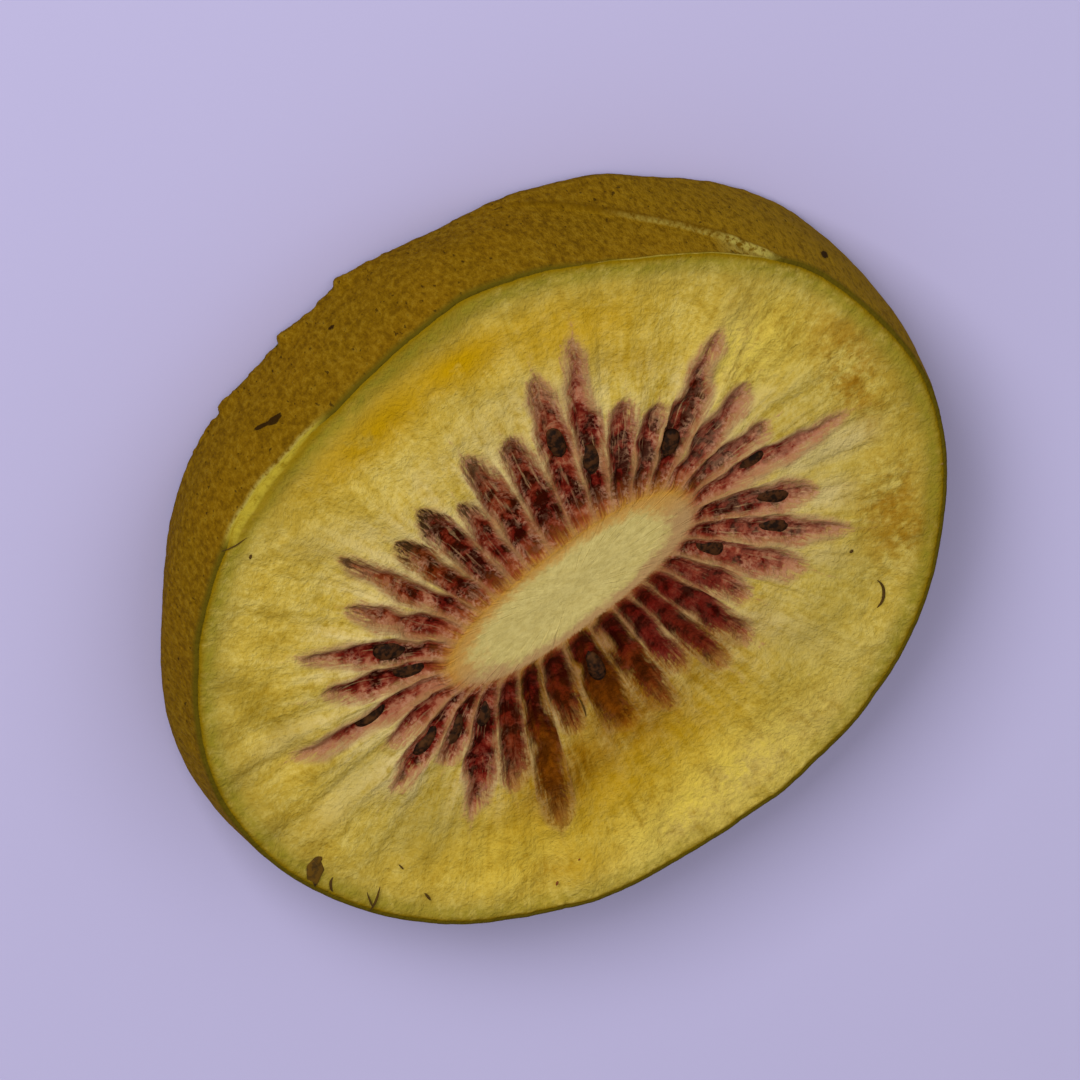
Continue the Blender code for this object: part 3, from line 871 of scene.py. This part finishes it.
class Wire:
    """An output in a material's node tree; sums and products of wires add maths nodes."""

    def __init__(self, shader, socket):
        self.shader = shader
        self.socket = socket

    def __add__(self, other):
        return self.shader.maths("ADD", self, other)

    def __sub__(self, other):
        return self.shader.maths("SUBTRACT", self, other)

    def __rsub__(self, other):
        return self.shader.maths("SUBTRACT", other, self)

    def __mul__(self, other):
        return self.shader.maths("MULTIPLY", self, other)

    def within(self, low, high):
        """Rise smoothly from 0 at low to 1 at high; low may be the larger."""
        return self.shader.wire("ShaderNodeMapRange", self, low, high, 0.0, 1.0,
                                interpolation_type="SMOOTHSTEP")


class Shader:
    """A material's node tree, with a short call for each kind of node."""

    def __init__(self, name, roughness, specular):
        self.material = bpy.data.materials.new(name)
        self.material.use_nodes = True
        self.tree = self.material.node_tree
        self.surface = self.tree.nodes["Principled BSDF"]
        self.feed(self.surface, {"Roughness": roughness, "Specular IOR Level": specular})

    def feed(self, node, values):
        """Feed a node's inputs, by name or index, each with a wire or a plain value."""
        for key, value in values.items():
            if isinstance(value, Wire):
                self.tree.links.new(value.socket, node.inputs[key])
            else:
                node.inputs[key].default_value = value

    def node(self, kind, *values, **settings):
        """Add a node, set its settings, and feed its inputs in order."""
        made = self.tree.nodes.new(kind)
        for setting, value in settings.items():
            setattr(made, setting, value)
        self.feed(made, dict(enumerate(values)))
        return made

    def wire(self, kind, *values, **settings):
        """Add a node, and give its first output."""
        return Wire(self, self.node(kind, *values, **settings).outputs[0])

    def maths(self, operation, first, second):
        return self.wire("ShaderNodeMath", first, second, operation=operation)

    def field(self, name, output="Fac"):
        return Wire(self, self.node("ShaderNodeAttribute", attribute_name=name).outputs[output])

    def place(self):
        return Wire(self, self.node("ShaderNodeTexCoord").outputs["Object"])

    def stretched(self, vector, scale, turn=0.0):
        """Coordinates scaled along each axis and turned about the vertical."""
        return self.wire("ShaderNodeMapping", vector, (0.0, 0.0, 0.0), (0.0, 0.0, turn), scale)

    def noise(self, vector, scale, detail=2.0, roughness=0.55):
        made = self.node("ShaderNodeTexNoise")
        self.feed(made, {"Vector": vector, "Scale": scale, "Detail": detail, "Roughness": roughness})
        return Wire(self, made.outputs["Fac"])

    def mix(self, share, first, second):
        made = self.node("ShaderNodeMix", data_type="RGBA", clamp_factor=True)
        self.feed(made, {0: share, 6: first, 7: second})
        return Wire(self, made.outputs[2])

    def layers(self, base, *coats):
        """Lay colours over a base one after another, each by its own share."""
        for share, colour in coats:
            base = self.mix(share, base, colour)
        return base

    def colour(self, value):
        self.feed(self.surface, {"Base Color": value})

    def bump(self, height, distance, strength):
        made = self.node("ShaderNodeBump")
        self.feed(made, {"Strength": strength, "Distance": distance, "Height": height})
        self.feed(self.surface, {"Normal": Wire(self, made.outputs["Normal"])})


def flesh_textures(s):
    """The fields of a cut face and the noises that its colours share."""
    t = SimpleNamespace(place=s.place(), streak=s.field("streak", "Vector"))
    t.share, t.inside, t.along = s.field("share"), s.field("inside"), s.field("along")
    t.mottle = s.noise(t.place, 420, 3, 0.6)
    t.felt = s.noise(t.place, 1400, 4, 0.68)
    t.grains = s.noise(t.place, 3800, 2, 0.6)
    t.fibres = s.noise(t.streak, 1.5, 4, 0.62)
    t.threads = s.noise(t.streak, 5.0, 3, 0.62)
    t.rough = t.fibres * 0.5 + t.felt * 0.5
    t.rough_side = 1.0 - s.field("velvet")
    torn = (t.fibres - 0.5) * 0.8 + (t.threads - 0.5) * 1.1 + (t.grains - 0.5)
    t.ragged = t.inside + torn * (t.along.within(0.45, 1.0) * 0.90 + 0.40)
    t.stained = (s.field("brown") + s.field("stain")).within(0.1, 0.7)
    t.septum = s.mix((t.share + s.field("pallor") * 0.16).within(0.06, 0.34), SEPTUM, SEPTUM_OUTER)
    return t


def yellow_flesh(s, t):
    """The flesh outside the chambers, with its patches, its rim and its pale septa. The rim's olive band is
    partly the flesh's own colour and partly painted shade.
    """
    tone = t.mottle * 0.20 + t.felt * 0.30 + (t.fibres * 0.30 + t.grains * 0.20)
    tone = tone * 0.86 + s.noise(t.place, 230, 2, 0.5) * 0.14
    ring = t.share.within(0.12, 0.36) * t.share.within(0.76, 0.46)
    edge = t.share + (t.rough - 0.5) * 0.07
    # grown: strength of the rim band, partly the flesh's own colour and partly painted shade
    grown = s.field("rim") * t.felt.within(0.85, 0.28)
    between = t.along.within(1.25, 0.75) * t.inside.within(-0.85, -0.25)
    return s.layers(
        FLESH_DEEP,
        (tone.within(0.40, 0.50), FLESH),
        (tone.within(0.48, 0.60), FLESH_PALE),
        (ring * t.rough.within(0.40, 0.74), FLESH_WHITE),
        (s.field("pale") * t.rough.within(0.25, 0.58), FLESH_WHITE),
        (s.field("frost") * t.rough.within(0.25, 0.52), FLESH_FROST),
        (s.field("bright") * tone.within(0.40, 0.58), FLESH_BRIGHT),
        (s.field("gold") * t.mottle.within(0.18, 0.42), FLESH_GOLD),
        (s.field("dull") * 0.8, FLESH_DULL),
        (s.field("tan") * (t.mottle + t.felt).within(1.32, 0.76), FLESH_TAN),
        (s.field("olive") * 0.8, FLESH_OLIVE),
        # the rim band: partly the flesh's own greener colour, partly painted shade of the rounded edge and
        # under the skin's lip
        (edge.within(0.90, 0.965) * grown, FLESH_RIM_AND_SHADE),
        (edge.within(0.962, 0.997) * grown, FLESH_OLIVE),
        (t.share.within(0.984, 0.998), FLESH_OLIVE),
        (s.field("shade"), FLESH_OLIVE),
        (s.field("strip") * t.felt.within(0.28, 0.55), FLESH_STRIP),
        (between * t.threads.within(0.05, 0.50), t.septum),
        (s.field("ray") * (t.rough.within(0.32, 0.62) * 0.65), FLESH_FROST),
        (s.field("stain") * t.rough.within(0.90, 0.34), FLESH_STAIN),
    )


def pulp_tone(s, t):
    """How light a chamber's pulp is: blotches, calmer on the low side of the face."""
    tone = t.grains * 0.20 + t.threads * 0.16 + s.noise(t.place, 1050, 2, 0.5) * 0.64
    tone = tone + (0.64 - s.field("wine")) * 0.24
    tone = tone + t.along.within(0.35, 1.05) * 0.07 + t.share.within(0.10, 0.0) * 0.05
    calm = s.field("velvet") * 0.55
    tone = tone * (1.0 - calm) + calm * (s.field("pallor") * 0.08 + 0.455)
    tone = tone + t.rough_side * t.inside.within(0.42, 0.0) * 0.09
    return tone - s.field("ruddy") * t.along.within(0.6, 0.3) * 0.07


def chamber_pulp(s, t, flesh):
    """Wine-red pulp, browned in places, with pale threads and frost, thin at its tip."""
    tone = pulp_tone(s, t)
    browned = s.field("brown") * (t.along + t.rough).within(0.65, 1.15)
    root = s.field("fringe") * (t.share + t.grains * 0.10).within(0.16, 0.05)
    pale_threads = s.noise(t.streak, 3.2, 2).within(0.56, 0.70) * (t.rough_side * 0.6)
    frost = s.noise(t.place, 800, 2, 0.5).within(0.40, 0.60) * t.grains.within(0.42, 0.62)
    frost = frost * (t.ragged.within(0.75, 0.10) * 0.55 + 0.10) * (t.rough_side * 0.90 + 0.10)
    faded = (t.along + (t.fibres - 0.5) * 0.9).within(0.70, 1.20) * (1.0 - s.field("brown") * 0.45)
    thin_dark = s.mix(t.stained, WINE_ROSE, PULP_BROWN)
    thin_pale = s.mix(t.stained, FROST, FLESH_TAN)
    thin = s.mix(0.5, flesh, s.mix(t.grains.within(0.35, 0.60), thin_dark, thin_pale))
    veil = s.field("veil") * t.along.within(0.15, 0.45) * t.felt.within(0.36, 0.58)
    return s.layers(
        WINE_DARK,
        (tone.within(0.42, 0.50), WINE),
        (tone.within(0.50, 0.58), WINE_ROSE),
        (tone.within(0.57, 0.66), WINE_PINK),
        (browned, s.mix(tone.within(0.40, 0.56), BROWN_DARK, PULP_BROWN)),
        (root * 0.6, PULP_ROOT),
        (pale_threads, t.septum),
        (frost, FROST),
        (faded * t.threads.within(0.36, 0.56), thin),
        (veil * 0.30, FROST),
    )


def core_cords(s, t):
    """Pale fibres of the core, drawn out along it."""
    cords = s.noise(s.stretched(t.place, (0.6, 1.0, 1.0), turn=-CORE_TURN), 3000, 3, 0.6)
    return s.mix((cords * 0.6 + t.felt * 0.4).within(0.36, 0.64), CORE_DEEP, CORE)


def flesh_material():
    """Dried pulp of a cut face: core, wine-red chambers, septa and yellow flesh."""
    s = Shader("dried_flesh", 0.95, 0.02)
    t = flesh_textures(s)
    flesh = yellow_flesh(s, t)
    beside = t.ragged.within(-0.60, 0.05) * t.along.within(1.40, 1.10)
    margin = s.mix(t.stained, MARGIN, FLESH_TAN)
    wisps = s.field("wisp") * (t.along.within(0.70, 0.90) * t.along.within(1.50, 1.15))
    wisps = wisps * (t.threads.within(0.45, 0.54) * t.inside.within(-0.45, 0.0))
    fringe = s.field("fringe")
    near_core = t.share + (t.threads - 0.5) * 0.12
    core_edge = near_core - s.field("pallor") * 0.055
    s.colour(s.layers(
        flesh,
        (beside * t.threads.within(0.22, 0.65), margin),
        (t.ragged.within(-0.32, 0.28), chamber_pulp(s, t, flesh)),
        (wisps * 0.9, WISP),
        (fringe * near_core.within(0.045, -0.04) * 0.75, FRINGE),
        (core_edge.within(-0.02, -0.10), s.mix(fringe * 0.6, SEPTUM_OUTER, FRINGE)),
        ((t.share + (t.felt - 0.5) * 0.5).within(-0.10, -0.34), core_cords(s, t)),
    ))
    fuzz = t.grains * 0.5 + (t.threads * 0.25 + s.noise(t.place, 2300, 3, 0.65))
    s.bump(fuzz * (t.share.within(-0.15, 0.05) * 0.50 + 0.50), 0.19 * MM, 0.9)
    return s.material


def skin_material():
    """Thin brown skin, finely wrinkled, with darker pores, a greenish cut edge darkened by painted shade,
    and painted shade along the slanting cut.
    """
    s = Shader("dried_skin", 0.90, 0.02)
    place = s.place()
    tall = s.stretched(place, (1.0, 1.0, 0.6))
    leather = s.noise(tall, 2500, 4, 0.72)
    spots = s.noise(tall, 3000, 2, 0.5)
    scar = s.field("scar") + (leather - 0.5) * 1.5
    # the cut edge's colour, darkened as painted shade; bare flesh where the skin is peeled
    cut = s.mix(s.field("bare"), SKIN_CUT_AND_SHADE, FLESH_STRIP)
    s.colour(s.layers(
        SKIN,
        (s.noise(place, 130, 3, 0.6).within(0.35, 0.65), SKIN_WARM),
        (s.field("faded"), SKIN_FADED),
        (leather.within(0.52, 0.36) * 0.60, SKIN_DARK),
        (leather.within(0.50, 0.66) * 0.75, SKIN_PALE),
        (spots.within(0.34, 0.26) * 0.75, SKIN_SCAR),
        (scar.within(0.18, 0.42) * 0.95, SKIN_SCAR),
        # painted shade along the slanting cut's step
        (s.field("crease_shade") * 0.75, SKIN_DARK),
        (s.field("torn") * leather.within(0.35, 0.55), SKIN_TORN),
        # the cut edge and the lip's band of painted shade
        (1.0 - s.field("outer") + s.field("lip") * 0.8, cut),
    ))
    s.bump(spots * 0.6 + leather, 0.22 * MM, 0.8)
    return s.material


def seed_material():
    s = Shader("seed_coat", 0.70, 0.06)
    place = s.place()
    pits = s.noise(place, 2400, 3, 0.6)
    worn = s.noise(place, 600).within(0.5, 0.7)
    s.colour(s.layers(SEED_DARK, (pits.within(0.4, 0.62), SEED), (worn * 0.5, SEED_PALE)))
    s.bump(pits, 0.1 * MM, 0.6)
    return s.material


def hair_material():
    s = Shader("dry_hair", 0.7, 0.1)
    place = s.place()
    spots = s.noise(place, 2400, 3, 0.6).within(0.38, 0.54)
    s.colour(s.layers(
        HAIR,
        (s.noise(place, 1500), SKIN_DARK),
        (s.field("rust"), RUST),
        (s.field("flake") * spots, FLAKE),
    ))
    return s.material


def floor_material():
    s = Shader("plain_floor", 0.9, 0.1)
    s.colour(s.mix(s.noise(s.place(), 12) * 0.05, FLOOR, WHITE))
    return s.material


# --- stage, light and camera ---

def make_floor():
    mesh = bpy.data.meshes.new("floor")
    signs = ((-1, -1), (1, -1), (1, 1), (-1, 1))
    corners = [(x * FLOOR_REACH, y * FLOOR_REACH, 0) for x, y in signs]
    mesh.from_pydata(corners, [], [(0, 1, 2, 3)])
    floor = placed("floor", mesh)
    floor.data.materials.append(floor_material())


def picture_axes():
    """The picture's right and up, and the way from the slice to the camera."""
    back = Vector((0.0, math.cos(CAMERA_ELEVATION), math.sin(CAMERA_ELEVATION)))
    across = Vector((1.0, 0.0, 0.0))
    upper_left = back.cross(across)
    turn = LONG_AXIS_IN_PICTURE
    right = math.cos(turn) * across - math.sin(turn) * upper_left
    up = math.sin(turn) * across + math.cos(turn) * upper_left
    return right, up, back


def make_camera():
    right, up, back = picture_axes()
    camera = bpy.data.cameras.new("camera")
    camera.lens = LENS
    camera.sensor_width = SENSOR
    camera.clip_start = 0.01
    holder = placed("camera", camera)
    matrix = Matrix((right, up, back)).transposed().to_4x4()
    matrix.translation = Vector(CAMERA_TARGET) + back * (FRAME_WIDTH * LENS / SENSOR)
    holder.matrix_world = matrix
    bpy.context.scene.camera = holder


def make_light(name, direction, distance, size, energy):
    """A square soft light, aimed at the slice from a direction."""
    lamp = bpy.data.lights.new(name, "AREA")
    lamp.size = size
    lamp.energy = energy
    holder = placed(name, lamp)
    direction = Vector(direction).normalized()
    holder.location = direction * distance
    holder.rotation_euler = direction.to_track_quat("Z", "Y").to_euler()


def make_light_rig():
    right, up, back = picture_axes()
    make_light("key", back + 0.25 * up - 0.35 * right + Vector((0, 0, 0.2)), 0.8, 0.35, KEY_POWER)
    make_light("fill", back + 0.9 * right - 0.2 * up + Vector((0, 0, 0.4)), 0.8, 0.7, FILL_POWER)
    world = bpy.data.worlds.new("studio")
    world.use_nodes = True
    sky = world.node_tree.nodes["Background"]
    sky.inputs["Color"].default_value = WHITE
    sky.inputs["Strength"].default_value = SKY_STRENGTH
    bpy.context.scene.world = world
    bpy.context.scene.view_settings.view_transform = "Standard"


# --- the slice ---

def dress(piece, material):
    piece.data.materials.append(material)
    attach(piece, "root")
    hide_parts("kiwi_slice")


def make_slice():
    flesh = flesh_material()
    upper = cut_face("flesh_upper", UPPER_SPOKES, UPPER_ROWS, UPPER_REACHES, upper_height, upward=True)
    under = cut_face("flesh_under", UNDER_SPOKES, UNDER_ROWS, UNDER_REACHES, under_height, upward=False)
    dress(upper, flesh)
    dress(under, flesh)
    dress(make_skin(), skin_material())
    dress(make_seeds(), seed_material())
    dress(make_hairs(), hair_material())


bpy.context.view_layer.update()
make_slice()
make_floor()
make_light_rig()
make_camera()
